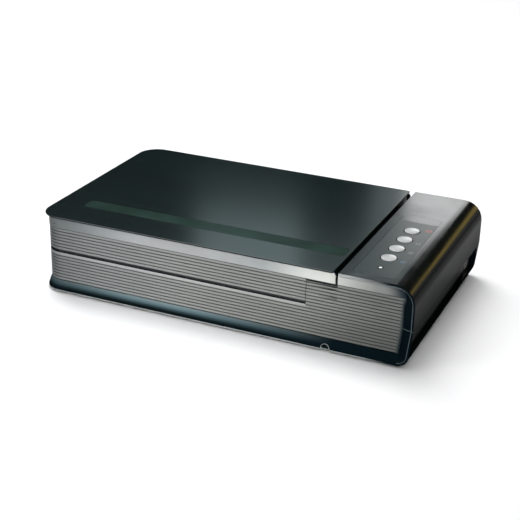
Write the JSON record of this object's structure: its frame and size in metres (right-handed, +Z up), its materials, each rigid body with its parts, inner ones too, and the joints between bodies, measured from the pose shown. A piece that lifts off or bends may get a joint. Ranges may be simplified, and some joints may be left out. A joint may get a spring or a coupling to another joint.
{
  "type": "book scanner",
  "caption": "Flatbed book scanner shaped like a closed book: ribbed page-block sides, hinged lid that lifts, spine with round buttons, glass bed reaching one edge.",
  "frame": {"origin": "centre of the footprint, on the desk under the feet", "axes": "+X along the length towards the spine with the buttons, +Y to the hinged back, +Z up"},
  "size_m": [0.491, 0.291, 0.1045],
  "materials": {
    "cover_black": "satin black moulded shell",
    "page_silver": "satin silver paint on moulded ribs",
    "bed_dark": "matt dark grey",
    "platen": "clear float glass",
    "overlay_grey": "printed grey film",
    "button_silver": "bright silver paint",
    "stripe_gloss": "polished inlay",
    "white_plastic": "white, slightly soft",
    "rubber_black": "matt rubber",
    "board_green": "solder mask",
    "gear_white": "natural moulded plastic",
    "steel": "ground steel",
    "zinc": "zinc-plated sheet"
  },
  "bodies": {
    "base": {"bottom_cover": "cover_black", "page_wall": "page_silver", "spine_cover": "cover_black", "bed_frame": "bed_dark", "platen_glass": "platen", "panel_overlay": "overlay_grey", "status_light": "white_plastic", "button_board": "board_green", "foot_1": "rubber_black", "foot_2": "rubber_black", "foot_3": "rubber_black", "foot_4": "rubber_black", "case_screw_1": "zinc", "case_screw_2": "zinc", "case_screw_3": "zinc", "case_screw_4": "zinc", "case_screw_5": "zinc", "case_screw_6": "zinc", "port_plate": "bed_dark", "usb_socket": "zinc", "power_jack": "bed_dark", "switch_housing": "bed_dark", "main_board": "board_green", "guide_rod": "steel", "rod_bracket_left": "bed_dark", "rod_bracket_right": "bed_dark", "slide_rail": "zinc", "motor_plate": "zinc", "motor": "zinc", "gear_pin": "steel", "idler_slide": "zinc", "belt_spring": "steel", "drive_belt": "rubber_black", "ribbon_cable": "white_plastic"},
    "hinge_lift": {"hinge_post_1": "bed_dark", "hinge_post_2": "bed_dark", "hinge_pin_1": "steel", "hinge_pin_2": "steel"},
    "lid": {"lid_plate": "cover_black", "lid_frame": "page_silver", "lid_stripe": "stripe_gloss", "lid_liner": "white_plastic", "document_pad": "white_plastic", "hinge_arm_1": "zinc", "hinge_arm_2": "zinc"},
    "button_1": {"scan_button_1": "button_silver"},
    "button_2": {"scan_button_2": "button_silver"},
    "button_3": {"scan_button_3": "button_silver"},
    "button_4": {"scan_button_4": "button_silver"},
    "rocker": {"power_rocker": "overlay_grey"},
    "carriage": {"carriage_body": "bed_dark", "carriage_bushing": "gear_white", "light_bar": "white_plastic", "sensor_board": "board_green", "belt_clip": "bed_dark"},
    "gear": {"drive_gear": "gear_white"},
    "pinion": {"motor_pinion": "steel"},
    "idler": {"idler_pulley": "gear_white"}
  },
  "joints": [
    {"name": "lid_lift", "type": "slide", "parent": "base", "child": "hinge_lift", "axis": [0, 0, 1], "range_m": [0, 0.02]},
    {"name": "lid_hinge", "type": "hinge", "parent": "hinge_lift", "child": "lid", "pos_m": [0, 0.1325, 0.092], "axis": [-1, 0, 0], "range_deg": [0, 90]},
    {"name": "button_1_press", "type": "slide", "parent": "base", "child": "button_1", "axis": [0, 0, -1], "range_m": [0, 0.0012], "stiffness_N_per_m": 600, "springref_m": -0.001},
    {"name": "button_2_press", "type": "slide", "parent": "base", "child": "button_2", "axis": [0, 0, -1], "range_m": [0, 0.0012], "stiffness_N_per_m": 600, "springref_m": -0.001},
    {"name": "button_3_press", "type": "slide", "parent": "base", "child": "button_3", "axis": [0, 0, -1], "range_m": [0, 0.0012], "stiffness_N_per_m": 600, "springref_m": -0.001},
    {"name": "button_4_press", "type": "slide", "parent": "base", "child": "button_4", "axis": [0, 0, -1], "range_m": [0, 0.0012], "stiffness_N_per_m": 600, "springref_m": -0.001},
    {"name": "rocker_tilt", "type": "hinge", "parent": "base", "child": "rocker", "pos_m": [0.2337, 0.0845, 0.0325], "axis": [0, 1, 0], "range_deg": [-14, 0]},
    {"name": "carriage_travel", "type": "slide", "parent": "base", "child": "carriage", "axis": [1, 0, 0], "range_m": [0, 0.306], "deforming": ["drive_belt", "ribbon_cable"]},
    {"name": "gear_spin", "type": "hinge", "parent": "base", "child": "gear", "pos_m": [0.1345, 0.1125, 0.03], "axis": [0, 0, 1], "range_deg": [0, 1840]},
    {"name": "pinion_spin", "type": "hinge", "parent": "base", "child": "pinion", "pos_m": [0.15639, 0.10229, 0.033], "axis": [0, 0, 1], "range_deg": [-5520, 0]},
    {"name": "idler_spin", "type": "hinge", "parent": "base", "child": "idler", "pos_m": [-0.2155, 0.1125, 0.026], "axis": [0, 0, 1], "range_deg": [0, 1840]}
  ],
  "couplings": [
    {"joint": "gear_spin", "follows": "carriage_travel", "rad_per_m": 104.72},
    {"joint": "idler_spin", "follows": "carriage_travel", "rad_per_m": 104.72},
    {"joint": "pinion_spin", "follows": "carriage_travel", "rad_per_m": -314.16}
  ]
}
